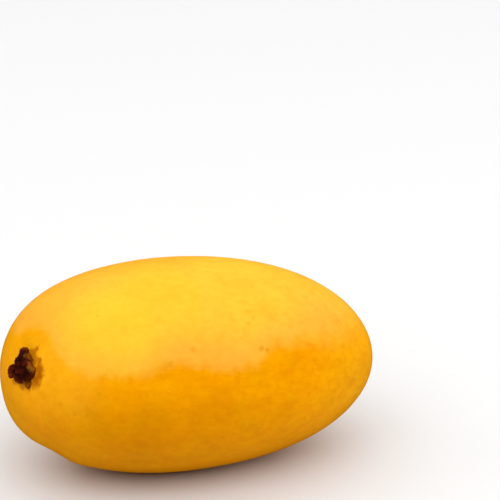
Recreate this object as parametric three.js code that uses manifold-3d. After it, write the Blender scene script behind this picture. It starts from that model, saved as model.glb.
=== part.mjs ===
// A ripe mango lying on its cheek, with the dry stub of its stalk.
//
// Millimetres, +Z up. The long axis runs along X, with the stalk end towards -X and the tip
// towards +X. The mango rests on the plane Z = 0, and the origin lies on that plane, under the
// middle of the box that holds the whole mango.

import * as THREE from 'three';
import { mergeVertices } from 'three/addons/utils/BufferGeometryUtils.js';
import Module from 'manifold-3d';

const { degToRad, lerp } = THREE.MathUtils;

// The fruit as grown: its length, and its width and thickness halfway along.
const LENGTH = 120;
const WIDTH = 74;
const THICKNESS = 67;

// How its outline differs from an ellipsoid's, each as a share of the girth: both ends are
// blunter, the stalk end is the fuller one, and its shoulder carries a little more.
const BLUNTNESS = 0.118;
const STALK_END_FULLNESS = 0.06;
const SHOULDER_FULLNESS = 0.042;

// The two ends sit to either side of the middle line, and the middle bows out sideways.
const END_OFFSET = 2.65;
const SIDE_BOW = 0.86;

// The stalk grew off the axis, on the upper shoulder: the angle from the axis, and the angle
// around the axis, counted from +Y towards +Z.
const STALK_OFF_AXIS = degToRad(23);
const STALK_AROUND = degToRad(139);

// The shallow hollow in the skin around the stalk.
const HOLLOW_DEPTH = 0.9;
const HOLLOW_RADIUS = 7.5;

// The stub: a crumbled cap of three lobes on the floor of the hollow, clear of the skin by a small
// gap. The first lobe points upright, and the cap stands out further towards the fruit's end.
const STUB_HALF_WIDTH = 4;
const STUB_HALF_HEIGHT = 5.5;
const STUB_LOBES = 3;
const STUB_LOBE_SIZE = 0.14;
const STUB_FIRST_LOBE = degToRad(95);
const STUB_STANDS_OUT = 3;
const STUB_LEAN = 0.9;
const STUB_EDGE_THICKNESS = 1.4;
const STUB_GAP = 0.3;

// How the fruit lies: its stalk end is raised a little, it is rolled a little, and the ripe flesh
// has settled into a small flat spot where it carries the weight.
const STALK_END_RAISED = degToRad(1.6);
const ROLLED = degToRad(1.1);
const FLAT_SPOT_DEPTH = 0.7;

// How fine the surfaces are.
const FRUIT_SIDES = 72;
const FRUIT_RINGS = 44;
const STUB_SIDES = 30;
const STUB_RINGS = 5;
const WELD_DISTANCE = 1e-4;

const SKIN_FINISH = { color: 0xf4a51c, roughness: 0.45, metalness: 0 };
const STUB_FINISH = { color: 0x2f170c, roughness: 0.95, metalness: 0 };

const wasm = await Module();
wasm.setup();

// Where the stalk is, as a direction from the middle of a ball of radius 1. The fruit is that ball
// stretched to shape, and the two sides run along the ball at the stalk, level and upright.
const stalkDirection = new THREE.Vector3(
  -Math.cos(STALK_OFF_AXIS),
  Math.sin(STALK_OFF_AXIS) * Math.cos(STALK_AROUND),
  Math.sin(STALK_OFF_AXIS) * Math.sin(STALK_AROUND),
);
const levelSide = new THREE.Vector3(0, 0, 1).cross(stalkDirection).normalize();
const uprightSide = stalkDirection.clone().cross(levelSide);

// The girth as a share of the ellipsoid's. stalkwards runs from -1 at the tip to 1 at the stalk end.
function girth(stalkwards) {
  return 1 + STALK_END_FULLNESS * stalkwards + BLUNTNESS * stalkwards ** 2
    + SHOULDER_FULLNESS * stalkwards ** 3;
}

// The skin without its hollow: the ball's point in that direction, stretched to the fruit's shape.
function smoothSkin(direction) {
  const stalkwards = -direction.x;
  const fullness = girth(stalkwards);
  const sideways = END_OFFSET * stalkwards + SIDE_BOW * (1 - stalkwards ** 2);
  return new THREE.Vector3(
    LENGTH / 2 * direction.x,
    WIDTH / 2 * fullness * direction.y + sideways,
    THICKNESS / 2 * fullness * direction.z,
  );
}

// The direction reached from the stalk by small steps along the ball.
function nearStalk(level, upright) {
  return stalkDirection.clone()
    .addScaledVector(levelSide, level)
    .addScaledVector(uprightSide, upright)
    .normalize();
}

// The stalk's place on the skin, the way it points, and how many millimetres of skin one unit of
// the ball covers there.
function findStalk() {
  const step = 0.01;
  const foot = smoothSkin(stalkDirection);
  const level = smoothSkin(nearStalk(step, 0)).sub(foot);
  const upright = smoothSkin(nearStalk(0, step)).sub(foot);
  return {
    foot,
    outward: level.clone().cross(upright).normalize(),
    stretch: (level.length() + upright.length()) / (2 * step),
  };
}

const stalk = findStalk();

// The skin with the hollow around the stalk.
function skin(direction) {
  const point = smoothSkin(direction);
  const distance = point.distanceTo(stalk.foot);
  const depth = HOLLOW_DEPTH * Math.exp(-((distance / HOLLOW_RADIUS) ** 2));
  return point.addScaledVector(stalk.outward, -depth);
}

// One vertex of the stub, from the matching point of a ball of radius 1 whose pole points outward.
function stubPoint(ballPoint) {
  const around = Math.atan2(ballPoint.y, ballPoint.x);
  const lobed = 1 + STUB_LOBE_SIZE * Math.cos(STUB_LOBES * (around - STUB_FIRST_LOBE));
  const point = skin(nearStalk(
    STUB_HALF_WIDTH * lobed * ballPoint.x / stalk.stretch,
    STUB_HALF_HEIGHT * lobed * ballPoint.y / stalk.stretch,
  ));
  const underside = ballPoint.z < -WELD_DISTANCE;
  const top = lerp(STUB_EDGE_THICKNESS, STUB_STANDS_OUT, ballPoint.z) - STUB_LEAN * ballPoint.x;
  return point.addScaledVector(stalk.outward, STUB_GAP + (underside ? 0 : top));
}

// The same geometry with positions only, and each shared vertex held once.
function welded(geometry) {
  geometry.deleteAttribute('normal');
  geometry.deleteAttribute('uv');
  return mergeVertices(geometry, WELD_DISTANCE);
}

// Moves each vertex of a geometry to the place that shape gives for it.
function reshaped(geometry, shape) {
  const position = geometry.getAttribute('position');
  const vertex = new THREE.Vector3();
  for (let i = 0; i < position.count; i += 1) {
    position.setXYZ(i, ...shape(vertex.fromBufferAttribute(position, i)));
  }
  return geometry;
}

// Turns a geometry from the way the fruit grew to the way it lies.
function laidDown(geometry) {
  const lie = new THREE.Euler(ROLLED, STALK_END_RAISED, 0, 'YXZ');
  return geometry.applyMatrix4(new THREE.Matrix4().makeRotationFromEuler(lie));
}

// The whole fruit, round underneath, with its rings of vertices centred on the stalk.
function roundFruit() {
  const ball = welded(new THREE.SphereGeometry(1, FRUIT_SIDES, FRUIT_RINGS));
  const pole = new THREE.Vector3(0, 1, 0);
  ball.applyQuaternion(new THREE.Quaternion().setFromUnitVectors(pole, stalkDirection));
  return laidDown(reshaped(ball, (vertex) => skin(vertex.normalize())));
}

function solid(geometry) {
  return new wasm.Manifold(new wasm.Mesh({
    numProp: 3,
    vertProperties: Float32Array.from(geometry.getAttribute('position').array),
    triVerts: Uint32Array.from(geometry.index.array),
  }));
}

function geometryOf(manifold) {
  const mesh = manifold.getMesh();
  const geometry = new THREE.BufferGeometry();
  geometry.setAttribute('position', new THREE.BufferAttribute(mesh.vertProperties, 3));
  geometry.setIndex(new THREE.BufferAttribute(mesh.triVerts, 1));
  return geometry;
}

// The fruit with its underside cut level at the flat spot.
function fruitGeometry() {
  const fruit = roundFruit();
  fruit.computeBoundingBox();
  const slab = welded(new THREE.BoxGeometry(2 * LENGTH, 2 * LENGTH, 2 * FLAT_SPOT_DEPTH));
  slab.translate(0, 0, fruit.boundingBox.min.z);
  return geometryOf(solid(fruit).subtract(solid(slab)));
}

function stubGeometry() {
  const cap = welded(new THREE.SphereGeometry(1, STUB_SIDES, 2 * STUB_RINGS));
  cap.rotateX(Math.PI / 2);
  return laidDown(reshaped(cap, stubPoint));
}

function piece(name, geometry, finish) {
  geometry.computeVertexNormals();
  const mesh = new THREE.Mesh(geometry, new THREE.MeshStandardMaterial(finish));
  mesh.name = name;
  return mesh;
}

// Moves the mango so that the middle of its box's base is at the origin.
function stoodAtOrigin(group) {
  const box = new THREE.Box3().setFromObject(group, true);
  const middle = box.getCenter(new THREE.Vector3());
  group.position.set(-middle.x, -middle.y, -box.min.z);
  return group;
}

const mango = new THREE.Group();
mango.add(piece('fruit', fruitGeometry(), SKIN_FINISH));
mango.add(piece('stem_stub', stubGeometry(), STUB_FINISH));

export default stoodAtOrigin(mango);
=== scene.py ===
"""A ripe mango with the dry stub of its stalk, on a pale floor in soft studio light.

Metres, +Z up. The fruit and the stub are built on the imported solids, so they lie where the frame
says they do.
"""

import math
import random

import bmesh
import bpy
import numpy as np
from mathutils import Matrix, Vector, noise
from mathutils.bvhtree import BVHTree


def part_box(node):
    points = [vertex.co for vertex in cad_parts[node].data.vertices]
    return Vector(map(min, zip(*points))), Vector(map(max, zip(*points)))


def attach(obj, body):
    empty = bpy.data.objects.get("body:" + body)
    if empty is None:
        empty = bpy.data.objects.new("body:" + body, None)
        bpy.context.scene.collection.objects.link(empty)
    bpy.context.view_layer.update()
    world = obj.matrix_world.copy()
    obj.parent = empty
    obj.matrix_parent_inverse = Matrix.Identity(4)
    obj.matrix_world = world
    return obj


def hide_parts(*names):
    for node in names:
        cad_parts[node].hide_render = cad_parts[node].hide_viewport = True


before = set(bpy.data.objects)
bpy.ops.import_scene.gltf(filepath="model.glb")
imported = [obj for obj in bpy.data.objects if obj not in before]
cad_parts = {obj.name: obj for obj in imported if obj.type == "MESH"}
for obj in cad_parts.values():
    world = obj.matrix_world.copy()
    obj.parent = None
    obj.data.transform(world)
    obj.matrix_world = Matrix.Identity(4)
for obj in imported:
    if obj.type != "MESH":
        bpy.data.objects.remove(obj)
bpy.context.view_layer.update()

MM = 0.001
SKYWARD = Vector((0, 0, 1))

# The skin's mesh: its cells along X, Y and Z, its rounds of smoothing, and how far each round moves
# a corner to the middle of its neighbours and back out. Its lumps are noise of a few sizes, each
# with its height, and the offset picks which ones.
SKIN_CELLS = (176, 104, 104)
SKIN_SMOOTHING = 90
SMOOTHING_SHARES = (0.5, -0.52)
LUMPS = ((55 * MM, 0.30 * MM), (22 * MM, 0.10 * MM), (9 * MM, 0.035 * MM))
LUMP_OFFSET = Vector((3.1, 7.7, 1.9))

# Skin colours, and the tints that multiply them.
SKIN_DEEP = (0.785, 0.315, 0.0)
# Paler skin, and with it a painted sheen and light on the upper side.
SKIN_PALE_AND_SHEEN = (0.80, 0.378, 0.029)
# Yellower skin, and with it a painted highlight.
SKIN_LEMON_AND_HIGHLIGHT = (0.80, 0.45, 0.026)
SKIN_PORE = (0.84, 0.46, 0.025)
SKIN_BROWN = (0.56, 0.205, 0.0)
# Brown of dried sap, and with it painted shade where the stub meets the skin.
SAP_AND_SHADE_BROWN = (0.36, 0.080, 0.0)
PEACH_TINT = (1.0, 0.94, 1.1)
END_TINT = (1.0, 1.09, 1.0)
AMBER_TINT = (0.985, 0.94, 0.85)
OLIVE_TINT = (0.94, 0.965, 1.0)

# Mottling, coarse and fine: its size in millimetres, how far it is drawn out along the fruit, the
# noise's detail, roughness and seed, and its dark and its pale part. Each part has the noise levels
# where it starts and is full, and its tint.
MOTTLES = (
    (5.5, 1.3, 2, 0.50, 7.0, (0.45, 0.80, (0.955, 0.91, 0.70)), (0.50, 0.20, (1.02, 1.05, 1.10))),
    (2.0, 1.4, 4, 0.65, 2.0, (0.42, 0.85, (0.93, 0.85, 0.55)), (0.56, 0.18, (1.03, 1.09, 1.25))),
)

# Pores and freckles, in millimetres: how far apart they are, the share of them that are more than
# pinpricks, the largest radius and their seed; and how far outside and inside the radius their
# edge is.
PORES = (2.2, 0.7, 0.35, 3.0)
PORE_STRENGTH = 0.3
PORE_DEPTH = 0.02
FRECKLES = (4.0, 0.35, 0.5, 1.5)
FRECKLE_STRENGTH = 0.35
SPOT_EDGE = (0.25, 0.10)

# How high the skin's grain stands in millimetres, and the least and most of its roughness.
GRAIN_HEIGHT = 0.05
SKIN_ROUGHNESS = (0.33, 0.43)

# How strong mottling and pores are. A row has two places and the strength at each: places along
# the fruit, -1 to 1, and then 0 off the pale upper side, partly painted sheen, and 1 on it.
STRENGTH_ALONG = (-0.834, 0.75, 0.85, 1.4)
STRENGTH_BY_PALENESS = (0, 1, 1.15, 0.60)

# The ends of the fruit get yellower from the first to the second of these places along it.
TIP_END = (0.40, 0.867)
STALK_END = (-0.50, -0.90)

# The lower edge of the pale upper side, part paler skin and part painted sheen and light, as how far
# along the fruit, -1 to 1, and millimetres above the floor.
PALE_EDGE = (
    (-1.00, 50.0),
    (-0.75, 49.0),
    (-0.68, 46.0),
    (-0.40, 45.7),
    (-0.25, 48.3),
    (-0.08, 47.0),
    (0.17, 44.7),
    (0.34, 48.9),
    (0.70, 46.2),
    (1.00, 44.5),
)

# How wide the edge fades, in millimetres: in front, toward the tip, and at the back, where it fades
# upward. It widens from the first to the second place along the fruit and across it, -1 to 1.
PALE_FADE = 4.5
PALE_TIP_FADE = 10
PALE_TIP_PLACES = (0.367, 0.70)
PALE_BACK_FADE = 18
PALE_BACK_PLACES = (0.376, 0.86)

# The size and reach of the edge's wandering, how far the pale side and its painted sheen stay from
# the stub with the width of their fade there, and how high over the edge its peach tint is gone and full.
PALE_WANDER = ((9, 1.2), (3.2, 2.6))
PALE_OFF_STUB = (10, 4)
PEACH_FADE = (10, 3)

# Places on the skin are given as how far along the fruit, -1 to 1, and degrees round it from the
# top toward the front. Swellings have a reach and a height in millimetres. Blemishes have a radius,
# at which they are half faded, and how dark they are. Patches have a radius, the width of their
# soft edge, and how strong they are or how they tint. The faint pale patch is a faint patch of the
# pale side, partly painted sheen.
SWELLINGS = (
    (-0.94, 170, 7.0, 0.75),
    (-0.79, 156, 4.0, -0.72),
    (-0.67, 156, 4.0, 0.32),
    (0.91, 91, 7.0, 0.45),
)
# Yellow patches on the upper side: partly yellower skin, partly a painted highlight where the light falls
# strongest.
YELLOW_AND_HIGHLIGHT_PATCHES = (
    (-0.47, 40, 6, 18, 1.0),
    (-0.20, 24, 8, 18, 0.65),
    (0.22, 20, 9, 20, 0.50),
)
# Patches of painted light and shade, tinting the skin lighter or darker.
LIGHT_AND_SHADE_PATCHES = (
    (-0.86, 103, 5, 11, (0.96, 0.88, 0.6)),
    (-0.86, 66, 7, 11, (1.07, 1.10, 1.0)),
    (-0.48, 77, 3, 10, (1.07, 1.10, 1.0)),
    (-0.44, 100, 5, 16, (0.89, 0.85, 1.0)),
    (-0.20, 12, 6, 12, (1.0, 0.95, 0.78)),
    (-0.05, 93, 3, 9, (0.93, 0.88, 1.0)),
    (0.20, 72, 1, 6, (1.03, 1.08, 1.0)),
    (0.58, 103, 5, 12, (1.06, 1.06, 1.0)),
    (0.66, 46, 3, 10, (1.0, 0.95, 1.0)),
    (0.76, 65, 3, 8, (1.0, 1.04, 1.0)),
)
FAINT_PALE_SHEEN = (-0.78, 66, 8, 11, 0.18)
BLEMISHES = (
    (-0.24, 65, 0.8, 0.45),
    (-0.11, 59, 0.7, 0.45),
    (0.25, 63, 0.8, 0.65),
    (0.28, 64, 0.7, 0.65),
    (0.24, 46, 0.6, 0.40),
    (0.21, 49, 0.6, 0.40),
    (0.13, 46, 0.6, 0.35),
    (0.22, 42, 0.6, 0.30),
    (-0.66, 89, 0.6, 0.45),
    (-0.72, 89, 0.5, 0.40),
    (-0.78, 83, 0.7, 0.35),
    (-0.60, 76, 0.6, 0.35),
    (-0.37, 78, 0.6, 0.40),
    (0.53, 88, 0.6, 0.40),
    (0.73, 68, 0.6, 0.40),
)

# The scar at the tip, in millimetres.
TIP_SCAR_RADIUS = 0.7
TIP_DIMPLE_REACH = 1.6
TIP_DIMPLE_DEPTH = 0.35

# Stub, in millimetres across, up and out of the skin at its foot: lobes as middle and half sizes.
STUB_LOBES = (
    ((0.9, -1.6, 0.9), (3.8, 3.5, 1.7)),
    ((-0.4, -4.0, 0.9), (2.6, 2.0, 1.3)),
    ((-1.6, 0.5, 1.0), (2.2, 2.6, 1.4)),
    ((-1.5, 2.0, 1.0), (2.1, 2.5, 1.4)),
    ((-1.7, 3.1, 0.9), (1.5, 1.8, 1.2)),
    ((0.6, 2.3, 0.7), (1.2, 1.5, 0.8)),
    ((-4.1, -3.4, 1.2), (1.5, 2.2, 1.3)),
    ((3.6, -1.5, 0.4), (1.3, 2.2, 1.0)),
    ((3.0, -4.9, -0.1), (1.3, 1.5, 0.5)),
)
STUB_VOXEL = 0.15 * MM

# The stub's roughness: the size of its ridges, and their amount. A ridge stands out by a share of
# the amount, and the hollows beside it go in, so that the stub keeps its size.
STUB_ROUGHNESS = ((2.2 * MM, 0.55 * MM), (0.8 * MM, 0.30 * MM), (0.35 * MM, 0.12 * MM))
STUB_RIDGE_SHARE = 0.45

# Splinters on the stub: how many, the seed of their places, and how far they lean at most. Then, in
# millimetres, the middle and spread of their places across and up, and the least and most of how
# far out they are, of their half thickness and of their half length. Last, how much wider they are
# than thick.
SPLINTERS = 24
SPLINTER_SEED = 5
SPLINTER_LEAN = 0.9
SPLINTER_ACROSS = (0.8, 1.3)
SPLINTER_UP = (-0.4, 1.9)
SPLINTER_OUT = (1.2, 2.0)
SPLINTER_THICKNESS = (0.22, 0.42)
SPLINTER_LENGTH = (0.7, 1.3)
SPLINTER_WIDENING = 1.6

# Sap stains with painted shade, and flecks, are solid out to a share of their radius and fade over
# another share.
SOLID_SHARE = 0.4
STAIN_AND_SHADE_FADE_SHARE = 0.9
FLECK_FADE_SHARE = 1.0

# Dried sap on the skin round the stub, with painted shade where the stub meets the skin: across, up
# and radius in millimetres, and how dark.
SAP_STAINS_AND_SHADE = (
    (0.4, 0.0, 5.4, 0.30),
    (1.1, 4.7, 1.8, 0.75),
    (3.0, 2.4, 2.0, 0.70),
    (1.9, 5.9, 1.1, 0.80),
    (4.9, 2.9, 1.2, 0.80),
    (6.1, 0.3, 2.2, 0.90),
    (6.6, -1.3, 2.2, 0.95),
    (6.2, -2.7, 2.1, 0.90),
    (5.5, -4.2, 2.1, 0.75),
    (3.2, -5.9, 1.6, 0.70),
    (0.6, -6.0, 2.0, 0.60),
    (-3.2, -6.0, 1.8, 0.60),
)

# Stub colours: charred and brown inside, red and rusty at the rim, with crumbs of tan.
STUB_CHAR = (0.015, 0.0008, 0.0010)
STUB_BROWN = (0.100, 0.009, 0.002)
STUB_RED = (0.100, 0.009, 0.001)
STUB_RUST = (0.125, 0.028, 0.002)
STUB_TAN = (0.30, 0.13, 0.03)
TAN_STRENGTH = 0.3
FLECK_STRENGTH = 0.75

# The stub's inside, in millimetres: across, up, out, radius and the width of its soft edge.
STUB_INSIDE = (0.2, -0.4, 1.4, 3.6, 2.2)

# Places of another colour on the stub: across, up, out and radius in millimetres, and colour.
STUB_FLECKS = (
    (2.8, -2.1, 1.9, 2.5, (0.013, 0.0010, 0.0010)),
    (4.4, 1.2, 1.0, 2.0, (0.26, 0.065, 0.002)),
    (1.9, 3.2, 1.0, 1.6, (0.22, 0.060, 0.003)),
    (3.8, 0.1, 1.4, 1.0, (0.21, 0.085, 0.008)),
    (2.4, 1.4, 1.7, 0.6, (0.19, 0.042, 0.018)),
    (0.2, 3.0, 1.7, 0.8, (0.15, 0.042, 0.005)),
    (3.0, -5.2, 0.3, 1.4, (0.25, 0.070, 0.001)),
)

# Camera, in metres from the middle of the fruit's box.
CAMERA_AZIMUTH = math.radians(-17.3)
CAMERA_ELEVATION = math.radians(22)
CAMERA_DISTANCE = 0.6096
CAMERA_RIGHT = 0.0200
CAMERA_UP = 0.0354
CAMERA_FIELD = math.radians(15)

# Softboxes, in metres: width, depth and, for the front and the top one, radiance. The front one
# slopes toward the fruit, and the top one faces straight down.
FRONT_SOFTBOX = (3.0, 1.27, 2.45)
FRONT_DISTANCE = 1.5
FRONT_LIFT = math.radians(52)
FRONT_SHIFT_RIGHT = 0.1
TOP_SOFTBOX = (4.8, 3.4, 1.52)
TOP_BEHIND = 1.3
TOP_HEIGHT = 1.55
TOP_SHIFT_RIGHT = 0.4
SIDE_SOFTBOX = (2.0, 1.4)
SIDE_DISTANCE = 2.2

# Side lights: name, left or right, angle above level, and radiance.
SIDE_LIGHTS = (
    ("left_softbox", -1, math.radians(30), 1.42),
    ("right_softbox", 1, math.radians(22), 1.75),
)

# The floor is a disc, and the world shows past its rim.
FLOOR_RADIUS = 1.5
FLOOR_CORNERS = 96
FLOOR_GREY = (0.64, 0.64, 0.64, 1)
WORLD_GREY = (0.9, 0.9, 0.9, 1)


# ---------------------------------------------------------------- mesh helpers

def cad_tree(name):
    """A CAD object's surface, for finding points on it."""
    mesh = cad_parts[name].data
    return BVHTree.FromPolygons(
        [v.co for v in mesh.vertices], [tuple(p.vertices) for p in mesh.polygons]
    )


def box_lattice(cells):
    """Quads covering a box of cells, as whole-number corners and quads that face out."""
    quads = []
    for axis in range(3):
        a, b = (axis + 1) % 3, (axis + 2) % 3
        i, j = np.meshgrid(np.arange(cells[a]), np.arange(cells[b]), indexing="ij")
        for level in (0, cells[axis]):
            corners = []
            for di, dj in ((0, 0), (1, 0), (1, 1), (0, 1)):
                corner = np.empty(i.shape + (3,), int)
                corner[..., axis] = level
                corner[..., a] = i + di
                corner[..., b] = j + dj
                corners.append(corner.reshape(-1, 3))
            if level == 0:
                corners.reverse()
            quads.append(np.stack(corners, 1))
    every = np.concatenate(quads).reshape(-1, 3)
    lattice, index = np.unique(every, axis=0, return_inverse=True)
    return lattice, index.reshape(-1, 4)


def grid_directions(lattice, cells):
    """A unit vector for each lattice corner, evenly spread over the ball."""
    across = np.tan((2 * lattice / np.array(cells) - 1) * math.pi / 4)
    return across / np.linalg.norm(across, axis=1)[:, None]


def edges_of(quads):
    """Each edge once, as its two corners."""
    pairs = np.concatenate([quads[:, [k, (k + 1) % 4]] for k in range(4)])
    return np.unique(np.sort(pairs, axis=1), axis=0)


def neighbour_mean(values, edges, counts):
    total = np.zeros_like(values)
    for k in range(values.shape[1]):
        total[:, k] = np.bincount(edges[:, 0], values[edges[:, 1], k], len(values))
        total[:, k] += np.bincount(edges[:, 1], values[edges[:, 0], k], len(values))
    return total / counts[:, None]


def smoothed(points, quads, rounds):
    """Evens out facets. Each round shrinks a little and grows back, so the size stays."""
    edges = edges_of(quads)
    counts = np.bincount(edges.ravel(), minlength=len(points))
    for _ in range(rounds):
        for share in SMOOTHING_SHARES:
            points = points + share * (neighbour_mean(points, edges, counts) - points)
    return points


def new_mesh(name, points, faces, material):
    """A smooth-shaded object in the scene."""
    mesh = bpy.data.meshes.new(name)
    mesh.from_pydata([tuple(p) for p in points], [], [tuple(int(i) for i in f) for f in faces])
    mesh.polygons.foreach_set("use_smooth", np.ones(len(mesh.polygons), bool))
    mesh.materials.append(material)
    mesh.update()
    piece = bpy.data.objects.new(name, mesh)
    bpy.context.scene.collection.objects.link(piece)
    return piece


def vertex_normals(points, quads):
    """A unit normal at each corner, its faces' mean by area."""
    diagonal_a = points[quads[:, 2]] - points[quads[:, 0]]
    diagonal_b = points[quads[:, 3]] - points[quads[:, 1]]
    across = np.cross(diagonal_a, diagonal_b)
    normals = np.zeros_like(points)
    for k in range(4):
        for axis in range(3):
            normals[:, axis] += np.bincount(quads[:, k], across[:, axis], len(points))
    return normals / np.linalg.norm(normals, axis=1)[:, None]


# ---------------------------------------------------------------- fruit

def middle_and_half(low, high):
    """The middle of a box and half its size."""
    return (low + high) / 2, (high - low) / 2


def fruit_surface(skin):
    """The CAD fruit's surface as an even mesh of quads: points and faces."""
    middle, half = middle_and_half(*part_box("fruit"))
    lattice, quads = box_lattice(SKIN_CELLS)
    directions = grid_directions(lattice, SKIN_CELLS) * np.array(half)
    points = np.array([skin.ray_cast(middle, Vector(d))[0] for d in directions])
    return smoothed(points, quads, SKIN_SMOOTHING), quads


def lumps(points, normals):
    """Moves the surface gently in and out, by noise."""
    height = np.zeros(len(points))
    for size, amount in LUMPS:
        height += [amount * noise.noise(Vector(p) / size + LUMP_OFFSET) for p in points]
    return points + normals * height[:, None]


def skin_point(skin, along, degrees):
    """A point on the fruit, from its place along and round it."""
    middle, half = middle_and_half(*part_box("fruit"))
    turn = math.radians(degrees)
    start = middle + Vector((along * half.x, 0, 0))
    return skin.ray_cast(start, Vector((0, -math.sin(turn), math.cos(turn))))[0]


def swelling(points, middle, reach, amount):
    """The height in metres of one soft bump or, with a negative amount, one dip."""
    away = np.linalg.norm(points - np.array(middle), axis=1)
    return amount * MM * np.exp(-0.5 * (away / (reach * MM)) ** 2)


def tip_point():
    """The far end of the fruit from its stalk, where the flower was."""
    return max((v.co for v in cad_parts["fruit"].data.vertices), key=lambda corner: corner.x)


def swellings(points, normals, skin):
    """Adds the swellings and the dimple at the tip."""
    height = np.zeros(len(points))
    for along, degrees, reach, amount in SWELLINGS:
        height += swelling(points, skin_point(skin, along, degrees), reach, amount)
    height += swelling(points, tip_point(), TIP_DIMPLE_REACH, -TIP_DIMPLE_DEPTH)
    return points + normals * height[:, None]


def build_fruit(skin, material):
    points, quads = fruit_surface(skin)
    normals = vertex_normals(points, quads)
    points = swellings(lumps(points, normals), normals, skin)
    points[:, 2] = np.maximum(points[:, 2], 0)
    return new_mesh("mango_skin", points, quads, material)


# ---------------------------------------------------------------- stub

def stub_frame(skin):
    """The stub's foot on the skin, with the ways across, up and out of the skin there."""
    middle, _ = middle_and_half(*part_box("stem_stub"))
    foot, out, _, _ = skin.find_nearest(middle)
    across = SKYWARD.cross(out).normalized()
    return foot, across, out.cross(across), out


def over_skin(skin, stub_axes, across_by, up_by, out_by):
    """A point given in millimetres on the stub's axes, its height counted from the skin below it."""
    foot, across, up, out = stub_axes
    ray_start = 10
    above = foot + across * across_by * MM + up * up_by * MM + out * ray_start * MM
    hit = skin.ray_cast(above, -out)[0]
    return hit + out * out_by * MM


def add_blob(mesh, middle, axes, half_sizes, turn=None):
    """An egg of the given half sizes, in metres."""
    made = bmesh.ops.create_icosphere(mesh, subdivisions=3, radius=1)
    basis = Matrix(axes).transposed()
    if turn:
        basis = basis @ turn
    for vertex in made["verts"]:
        stretched = Vector(c * h for c, h in zip(vertex.co, half_sizes))
        vertex.co = middle + basis @ stretched


def stub_lump(skin, stub_axes):
    """Lobes and splinters as overlapping eggs in one mesh."""
    lump = bmesh.new()
    axes = stub_axes[1:]
    for middle, half_sizes in STUB_LOBES:
        add_blob(lump, over_skin(skin, stub_axes, *middle), axes, [h * MM for h in half_sizes])
    chance = random.Random(SPLINTER_SEED)
    for _ in range(SPLINTERS):
        across_by, up_by = chance.gauss(*SPLINTER_ACROSS), chance.gauss(*SPLINTER_UP)
        where = over_skin(skin, stub_axes, across_by, up_by, chance.uniform(*SPLINTER_OUT))
        lean = Matrix.Rotation(chance.uniform(-SPLINTER_LEAN, SPLINTER_LEAN), 3, "X")
        lean = lean @ Matrix.Rotation(chance.uniform(-SPLINTER_LEAN, SPLINTER_LEAN), 3, "Y")
        thin, long = chance.uniform(*SPLINTER_THICKNESS) * MM, chance.uniform(*SPLINTER_LENGTH) * MM
        add_blob(lump, where, axes, (thin, thin * SPLINTER_WIDENING, long), lean)
    return lump


def remeshed(name, lump, voxel):
    """The outside of overlapping shells as one even mesh: points and faces."""
    mesh = bpy.data.meshes.new(name)
    lump.to_mesh(mesh)
    lump.free()
    holder = bpy.data.objects.new(name, mesh)
    bpy.context.scene.collection.objects.link(holder)
    modifier = holder.modifiers.new("even", "REMESH")
    modifier.mode = "VOXEL"
    modifier.voxel_size = voxel
    seen = holder.evaluated_get(bpy.context.evaluated_depsgraph_get()).to_mesh()
    points = np.array([v.co for v in seen.vertices])
    faces = np.array([tuple(p.vertices) for p in seen.polygons])
    holder.to_mesh_clear()
    bpy.data.objects.remove(holder)
    bpy.data.meshes.remove(mesh)
    return points, faces


def ridge(point, size):
    """Noise folded into sharp ridges where it passes through 0, as a share of their amount."""
    return STUB_RIDGE_SHARE - 2 * abs(noise.noise(Vector(point) / size))


def build_stub(skin, material):
    points, quads = remeshed("stub_lump", stub_lump(skin, stub_frame(skin)), STUB_VOXEL)
    normals = vertex_normals(points, quads)
    height = np.zeros(len(points))
    for size, amount in STUB_ROUGHNESS:
        height += [amount * ridge(p, size) for p in points]
    return new_mesh("dry_stem_stub", points + normals * height[:, None], quads, material)


# ---------------------------------------------------------------- materials

def node(tree, kind, inputs=None, **settings):
    """Adds a node. An input is either a value or the socket that feeds it."""
    made = tree.nodes.new(kind)
    for name, value in settings.items():
        setattr(made, name, value)
    for key, value in (inputs or {}).items():
        if isinstance(value, bpy.types.NodeSocket):
            tree.links.new(value, made.inputs[key])
        else:
            made.inputs[key].default_value = value
    return made


def maths(tree, operation, first, second=0.0):
    return node(tree, "ShaderNodeMath", {0: first, 1: second}, operation=operation).outputs[0]


def place_in_mm(tree, stretch=(1, 1, 1)):
    """The point on the part in millimetres, divided by stretch to draw patterns out."""
    where = node(tree, "ShaderNodeTexCoord").outputs["Object"]
    factors = tuple(1 / (MM * s) for s in stretch)
    return node(tree, "ShaderNodeVectorMath", {0: where, 1: factors}, operation="MULTIPLY").outputs[0]


def noise_field(tree, place, size, detail=2.0, roughness=0.5, seed=0.0):
    """Even noise about 0.5, with features of about size millimetres."""
    inputs = {"Vector": place, "W": seed, "Scale": 1 / size, "Detail": detail, "Roughness": roughness}
    return node(tree, "ShaderNodeTexNoise", inputs, noise_dimensions="4D").outputs["Fac"]


def spread(tree, value, low, high, low_to=0.0, high_to=1.0, kind="SMOOTHSTEP"):
    """Turns low to high into low_to to high_to, and holds the value at both ends."""
    inputs = {"Value": value, "From Min": low, "From Max": high, "To Min": low_to, "To Max": high_to}
    return node(tree, "ShaderNodeMapRange", inputs, interpolation_type=kind).outputs["Result"]


def blend(tree, factor, first, second, mode="MIX"):
    """Mixes two colours, or multiplies the second one in, as far as factor says."""
    mixer = node(tree, "ShaderNodeMix", {"Factor": factor}, data_type="RGBA", blend_type=mode)
    for key, value in (("A", first), ("B", second)):
        socket = next(s for s in mixer.inputs if s.name == key and s.type == "RGBA")
        if isinstance(value, bpy.types.NodeSocket):
            tree.links.new(value, socket)
        else:
            socket.default_value = (*value, 1)
    return next(s for s in mixer.outputs if s.type == "RGBA")


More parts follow.
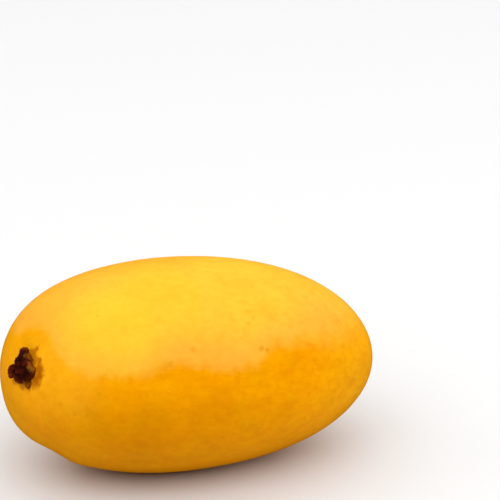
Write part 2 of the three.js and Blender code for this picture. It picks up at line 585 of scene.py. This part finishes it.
def new_material(name, **constants):
    """A Principled material, its node tree and its shader. constants are values of its sockets."""
    material = bpy.data.materials.new(name)
    material.use_nodes = True
    shader = material.node_tree.nodes["Principled BSDF"]
    for key, value in constants.items():
        shader.inputs[key.replace("_", " ")].default_value = value
    return material, material.node_tree, shader


def wave(tree, place, size, reach, seed=0.0):
    """Noise of about size millimetres, from -reach to reach."""
    value = noise_field(tree, place, size, detail=3, roughness=0.6, seed=seed)
    value = maths(tree, "SUBTRACT", value, 0.5)
    return maths(tree, "MULTIPLY", value, 2 * reach)


def near(tree, place, centre, radius, soft, waver):
    """1 in a ball about centre, fading to 0 over soft, all in millimetres. waver bends its edge."""
    away = node(tree, "ShaderNodeVectorMath", {0: place, 1: centre}, operation="DISTANCE").outputs["Value"]
    return spread(tree, maths(tree, "ADD", away, waver), radius + soft, radius)


def near_skin(tree, place, skin, along, degrees, radius, soft, waver):
    """1 on a patch of skin about a place along and round the fruit."""
    return near(tree, place, skin_point(skin, along, degrees) / MM, radius, soft, waver)


def near_stub(tree, place, skin, across_by, up_by, out_by, radius, soft, waver):
    """1 about a place on the stub's axes."""
    centre = over_skin(skin, stub_frame(skin), across_by, up_by, out_by)
    return near(tree, place, centre / MM, radius, soft, waver)


def level_along(tree, along, levels):
    """A level that changes smoothly with along, which runs from -1 to 1."""
    low, high = min(level for _, level in levels), max(level for _, level in levels)
    curve = node(tree, "ShaderNodeFloatCurve", {"Value": spread(tree, along, -1, 1, kind="LINEAR")})
    line = curve.mapping.curves[0]
    while len(line.points) < len(levels):
        line.points.new(0.5, 0.5)
    for point, (place_along, level) in zip(line.points, levels):
        point.location = ((place_along + 1) / 2, (level - low) / (high - low))
    curve.mapping.update()
    return spread(tree, curve.outputs["Value"], 0, 1, low, high, "LINEAR")


def coordinate(tree, place, axis):
    return node(tree, "ShaderNodeSeparateXYZ", {0: place}).outputs[axis]


def share_of_box(tree, place, axis):
    """Where a point is on the X, Y or Z of the fruit's box, from -1 to 1."""
    low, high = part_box("fruit")
    number = "XYZ".index(axis)
    ends = (low[number] / MM, high[number] / MM)
    return spread(tree, coordinate(tree, place, axis), *ends, -1, 1, "LINEAR")


def above_edge(tree, place):
    """Height over the edge of the pale side and its painted sheen in millimetres, measured to the middle of
    its fade.
    """
    level = level_along(tree, share_of_box(tree, place, "X"), PALE_EDGE)
    height = maths(tree, "SUBTRACT", coordinate(tree, place, "Z"), level)
    for number, (size, reach) in enumerate(PALE_WANDER):
        height = maths(tree, "ADD", height, wave(tree, place, size, reach, 4.0 + number))
    return height


def pale_and_sheen_side(tree, place, skin, height):
    """1 on the paler upper side and its painted sheen, 0 below it and near the stub."""
    along, across = share_of_box(tree, place, "X"), share_of_box(tree, place, "Y")
    front = spread(tree, along, *PALE_TIP_PLACES, PALE_FADE / 2, PALE_TIP_FADE / 2)
    back = spread(tree, across, *PALE_BACK_PLACES, 0, PALE_BACK_FADE)
    pale_and_sheen = spread(tree, height, maths(tree, "MULTIPLY", front, -1.0), maths(tree, "MAXIMUM", front, back))
    foot = stub_frame(skin)[0] / MM
    round_stub = near(tree, place, foot, *PALE_OFF_STUB, wave(tree, place, size=6, reach=2))
    pale_and_sheen = maths(tree, "MULTIPLY", pale_and_sheen, maths(tree, "SUBTRACT", 1.0, round_stub))
    *faint_place, strong = FAINT_PALE_SHEEN
    faint = near_skin(tree, place, skin, *faint_place, wave(tree, place, size=5, reach=3))
    return maths(tree, "MAXIMUM", pale_and_sheen, maths(tree, "MULTIPLY", faint, strong))


def spots(tree, place, spacing, share, radius, seed):
    """Small round spots, one to a cell. share is how many are more than pinpricks."""
    inputs = {"Vector": place, "W": seed, "Scale": 1 / spacing}
    cells = node(tree, "ShaderNodeTexVoronoi", inputs, voronoi_dimensions="4D")
    pick = node(tree, "ShaderNodeSeparateColor", {0: cells.outputs["Color"]}).outputs[0]
    size = spread(tree, pick, 1 - share, 1, 0, radius / spacing, "LINEAR")
    away = maths(tree, "SUBTRACT", cells.outputs["Distance"], size)
    outside, inside = SPOT_EDGE
    return spread(tree, away, outside / spacing, -inside / spacing)


def skin_marks(tree, place, skin):
    """How brown the skin is: clusters of freckles, single blemishes and the scar at the tip."""
    clusters = spread(tree, noise_field(tree, place, size=21, detail=1, seed=8.0), 0.5, 0.62)
    freckles = maths(tree, "MULTIPLY", spots(tree, place, *FRECKLES), clusters)
    brown = maths(tree, "MULTIPLY", freckles, FRECKLE_STRENGTH)
    waver = wave(tree, place, size=1.2, reach=1.1)
    for along, degrees, radius, dark in BLEMISHES:
        spot = near_skin(tree, place, skin, along, degrees, 0, radius * 2, waver)
        brown = maths(tree, "MAXIMUM", brown, maths(tree, "MULTIPLY", spot, dark))
    return maths(tree, "MAXIMUM", brown, near(tree, place, tip_point() / MM, 0, TIP_SCAR_RADIUS * 2, waver))


def texture_strength(tree, place, pale_and_sheen):
    """Strong toward the tip and below, weak on the pale shoulder and its painted sheen."""
    tipward = spread(tree, share_of_box(tree, place, "X"), *STRENGTH_ALONG, "LINEAR")
    below = spread(tree, pale_and_sheen, *STRENGTH_BY_PALENESS, "LINEAR")
    return maths(tree, "MULTIPLY", tipward, below)


def yellow_and_highlight(tree, place, skin):
    """How yellow the pale side is: partly yellower skin, partly a painted highlight where the light falls
    strongest.
    """
    waver = wave(tree, place, size=16, reach=6)
    lemon_and_highlight = 0.0
    for *patch_place, strong in YELLOW_AND_HIGHLIGHT_PATCHES:
        patch = near_skin(tree, place, skin, *patch_place, waver)
        lemon_and_highlight = maths(tree, "MAXIMUM", maths(tree, "MULTIPLY", patch, strong), lemon_and_highlight)
    return lemon_and_highlight


def patched(tree, place, colour, skin):
    """Tints patches of the skin lighter or darker: painted light and shade."""
    waver = wave(tree, place, size=9, reach=4, seed=0.4)
    for *patch_place, tint in LIGHT_AND_SHADE_PATCHES:
        patch = near_skin(tree, place, skin, *patch_place, waver)
        colour = blend(tree, patch, colour, tint, "MULTIPLY")
    return colour


def yellower_ends(tree, place, colour, outside_pale_and_sheen):
    """Tints the tip, and the stalk end off the pale side and its painted sheen."""
    along = share_of_box(tree, place, "X")
    stalk_end = maths(tree, "MULTIPLY", spread(tree, along, *STALK_END), outside_pale_and_sheen)
    ends = maths(tree, "MAXIMUM", spread(tree, along, *TIP_END), stalk_end)
    return blend(tree, ends, colour, END_TINT, "MULTIPLY")


def clouded(tree, place, colour, outside_pale_and_sheen):
    """Adds wide faint clouds, amber all over and olive off the pale side and its painted sheen."""
    amber = spread(tree, noise_field(tree, place, size=17, detail=3, seed=1.0), 0.42, 0.72)
    olive = spread(tree, noise_field(tree, place, size=11, detail=3, seed=9.0), 0.40, 0.70)
    colour = blend(tree, amber, colour, AMBER_TINT, "MULTIPLY")
    return blend(tree, maths(tree, "MULTIPLY", outside_pale_and_sheen, olive), colour, OLIVE_TINT, "MULTIPLY")


def mottled(tree, colour, strength):
    """Tints the dark and the pale parts of each mottling."""
    for size, stretch, detail, roughness, seed, *parts in MOTTLES:
        pattern = noise_field(tree, place_in_mm(tree, (stretch, 1, 1)), size, detail, roughness, seed)
        for start, full, tint in parts:
            amount = maths(tree, "MULTIPLY", spread(tree, pattern, start, full), strength)
            colour = blend(tree, amount, colour, tint, "MULTIPLY")
    return colour


def skin_colour(tree, skin):
    place = place_in_mm(tree)
    height = above_edge(tree, place)
    pale_and_sheen = pale_and_sheen_side(tree, place, skin, height)
    outside_pale_and_sheen = maths(tree, "SUBTRACT", 1.0, pale_and_sheen)
    colour = blend(tree, pale_and_sheen, SKIN_DEEP, blend(tree, yellow_and_highlight(tree, place, skin), SKIN_PALE_AND_SHEEN, SKIN_LEMON_AND_HIGHLIGHT))
    colour = blend(tree, spread(tree, height, *PEACH_FADE), colour, PEACH_TINT, "MULTIPLY")
    colour = patched(tree, place, colour, skin)
    colour = yellower_ends(tree, place, colour, outside_pale_and_sheen)
    colour = clouded(tree, place, colour, outside_pale_and_sheen)
    strength = texture_strength(tree, place, pale_and_sheen)
    colour = mottled(tree, colour, strength)
    pores = maths(tree, "MULTIPLY", spots(tree, place, *PORES), strength)
    colour = blend(tree, maths(tree, "MULTIPLY", pores, PORE_STRENGTH), colour, SKIN_PORE)
    colour = blend(tree, skin_marks(tree, place, skin), colour, SKIN_BROWN)
    return sap_stained_and_shaded(tree, place, colour, skin)


def sap_stained_and_shaded(tree, place, colour, skin):
    """Brown round the foot of the stub: dried sap, and painted shade where the stub meets the skin."""
    coarse, fine = wave(tree, place, size=3.2, reach=1.6), wave(tree, place, size=1.3, reach=1.0, seed=0.8)
    waver = maths(tree, "ADD", coarse, fine)
    stain_and_shade = 0.0
    for across_by, up_by, radius, dark in SAP_STAINS_AND_SHADE:
        solid, soft = radius * SOLID_SHARE, radius * STAIN_AND_SHADE_FADE_SHARE
        spot = near_stub(tree, place, skin, across_by, up_by, 0, solid, soft, waver)
        stain_and_shade = maths(tree, "MAXIMUM", maths(tree, "MULTIPLY", spot, dark), stain_and_shade)
    return blend(tree, stain_and_shade, colour, SAP_AND_SHADE_BROWN)


def skin_relief(tree):
    """Height of the skin's grain in millimetres, less its pores."""
    drawn_out = place_in_mm(tree, (1.6, 1, 1))
    grain = noise_field(tree, drawn_out, size=1.1, detail=3, roughness=0.6, seed=5.0)
    pores = maths(tree, "MULTIPLY", spots(tree, place_in_mm(tree), *PORES), PORE_DEPTH)
    return maths(tree, "SUBTRACT", maths(tree, "MULTIPLY", grain, GRAIN_HEIGHT), pores)


def skin_material(skin):
    material, tree, shader = new_material("mango_skin", IOR=1.1, Specular_Tint=(1, 0.75, 0.15, 1))
    tree.links.new(skin_colour(tree, skin), shader.inputs["Base Color"])
    wax = noise_field(tree, place_in_mm(tree), size=6, detail=3, seed=6.0)
    tree.links.new(spread(tree, wax, 0.3, 0.7, *SKIN_ROUGHNESS), shader.inputs["Roughness"])
    bump = node(tree, "ShaderNodeBump", {"Height": skin_relief(tree), "Distance": MM, "Strength": 1.0})
    tree.links.new(bump.outputs["Normal"], shader.inputs["Normal"])
    return material


def stub_colour(tree, place, skin):
    """Dark inside and reddish at the rim, with crumbs of tan and flecks."""
    brown = noise_field(tree, place, size=1.6, detail=3, roughness=0.6, seed=1.0)
    inner = blend(tree, spread(tree, brown, 0.45, 0.68), STUB_CHAR, STUB_BROWN)
    rust = noise_field(tree, place, size=1.8, seed=6.0)
    rim = blend(tree, spread(tree, rust, 0.45, 0.62), STUB_RED, STUB_RUST)
    inside = near_stub(tree, place, skin, *STUB_INSIDE, wave(tree, place, size=2.0, reach=1.0))
    colour = blend(tree, inside, rim, inner)
    tan = spread(tree, noise_field(tree, place, size=0.9, roughness=0.6, seed=2.0), 0.64, 0.76)
    colour = blend(tree, maths(tree, "MULTIPLY", tan, TAN_STRENGTH), colour, STUB_TAN)
    waver = wave(tree, place, size=0.8, reach=1.0)
    for across_by, up_by, out_by, radius, fleck in STUB_FLECKS:
        solid, soft = radius * SOLID_SHARE, radius * FLECK_FADE_SHARE
        spot = near_stub(tree, place, skin, across_by, up_by, out_by, solid, soft, waver)
        colour = blend(tree, maths(tree, "MULTIPLY", spot, FLECK_STRENGTH), colour, fleck)
    return colour


def stub_material(skin):
    """Dry, torn wood."""
    material, tree, shader = new_material(
        "dry_stem_stub", Roughness=0.85, Specular_IOR_Level=0.12, Specular_Tint=(1, 0.3, 0.1, 1)
    )
    place = place_in_mm(tree)
    tree.links.new(stub_colour(tree, place, skin), shader.inputs["Base Color"])
    fibre = noise_field(tree, place, size=0.3, detail=3, roughness=0.6, seed=3.0)
    bump = node(tree, "ShaderNodeBump", {"Height": fibre, "Distance": 0.1 * MM, "Strength": 1.0})
    tree.links.new(bump.outputs["Normal"], shader.inputs["Normal"])
    return material


# ---------------------------------------------------------------- stage

def aim(location, right, up, back):
    """The matrix of a camera or light that looks away from back."""
    turn = Matrix((right, up, back)).transposed().to_4x4()
    return Matrix.Translation(location) @ turn


def camera_level():
    """The level ways to the camera's right and from the fruit toward the camera."""
    a = CAMERA_AZIMUTH
    return Vector((math.cos(a), math.sin(a), 0)), Vector((math.sin(a), -math.cos(a), 0))


def lifted(way, angle):
    """A level way, turned up by an angle."""
    return way * math.cos(angle) + SKYWARD * math.sin(angle)


def build_camera():
    middle, _ = middle_and_half(*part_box("fruit"))
    right, toward = camera_level()
    back = lifted(toward, CAMERA_ELEVATION)
    up = back.cross(right)
    spot = middle + back * CAMERA_DISTANCE + right * CAMERA_RIGHT + up * CAMERA_UP
    data = bpy.data.cameras.new("camera")
    data.sensor_fit = "HORIZONTAL"
    data.angle = CAMERA_FIELD
    data.clip_start = 0.01
    camera = bpy.data.objects.new("camera", data)
    camera.matrix_world = aim(spot, right, up, back)
    bpy.context.scene.collection.objects.link(camera)
    bpy.context.scene.camera = camera


def softbox(name, width, depth, radiance, centre, axes):
    """A rectangular light of even radiance. axes are its right, its up and the way behind it."""
    data = bpy.data.lights.new(name, "AREA")
    data.shape = "RECTANGLE"
    data.size = width
    data.size_y = depth
    data.energy = radiance * math.pi * width * depth
    light = bpy.data.objects.new(name, data)
    light.matrix_world = aim(centre, *axes)
    light.visible_camera = False
    bpy.context.scene.collection.objects.link(light)


def build_lights():
    right, toward = camera_level()
    out = lifted(toward, FRONT_LIFT)
    centre = out * FRONT_DISTANCE + right * FRONT_SHIFT_RIGHT
    softbox("front_softbox", *FRONT_SOFTBOX, centre, (right, out.cross(right), out))
    centre = toward * -TOP_BEHIND + SKYWARD * TOP_HEIGHT + right * TOP_SHIFT_RIGHT
    softbox("top_softbox", *TOP_SOFTBOX, centre, (right, SKYWARD.cross(right), SKYWARD))
    for name, side, lift, radiance in SIDE_LIGHTS:
        out = lifted(right * side, lift)
        along = SKYWARD.cross(out).normalized()
        softbox(name, *SIDE_SOFTBOX, radiance, out * SIDE_DISTANCE, (along, out.cross(along), out))


def build_floor():
    """A pale disc, which the fruit's gloss doesn't mirror."""
    material, _, _ = new_material("floor", Base_Color=FLOOR_GREY, Roughness=0.9)
    turns = [2 * math.pi * k / FLOOR_CORNERS for k in range(FLOOR_CORNERS)]
    rim = [(FLOOR_RADIUS * math.cos(turn), FLOOR_RADIUS * math.sin(turn), 0) for turn in turns]
    floor = new_mesh("floor", rim, [range(FLOOR_CORNERS)], material)
    floor.visible_glossy = False


def build_world():
    """Pale where the camera sees past the floor. It lights nothing."""
    world = bpy.data.worlds.new("world")
    bpy.context.scene.world = world
    world.use_nodes = True
    world.node_tree.nodes["Background"].inputs["Color"].default_value = WORLD_GREY
    world.cycles_visibility.diffuse = False
    world.cycles_visibility.glossy = False


cad_skin = cad_tree("fruit")
fruit = build_fruit(cad_skin, skin_material(cad_skin))
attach(fruit, "root")
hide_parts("fruit")

stub = build_stub(cad_skin, stub_material(cad_skin))
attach(stub, "root")
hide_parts("stem_stub")

build_camera()
build_lights()
build_floor()
build_world()
bpy.context.scene.view_settings.view_transform = "Standard"
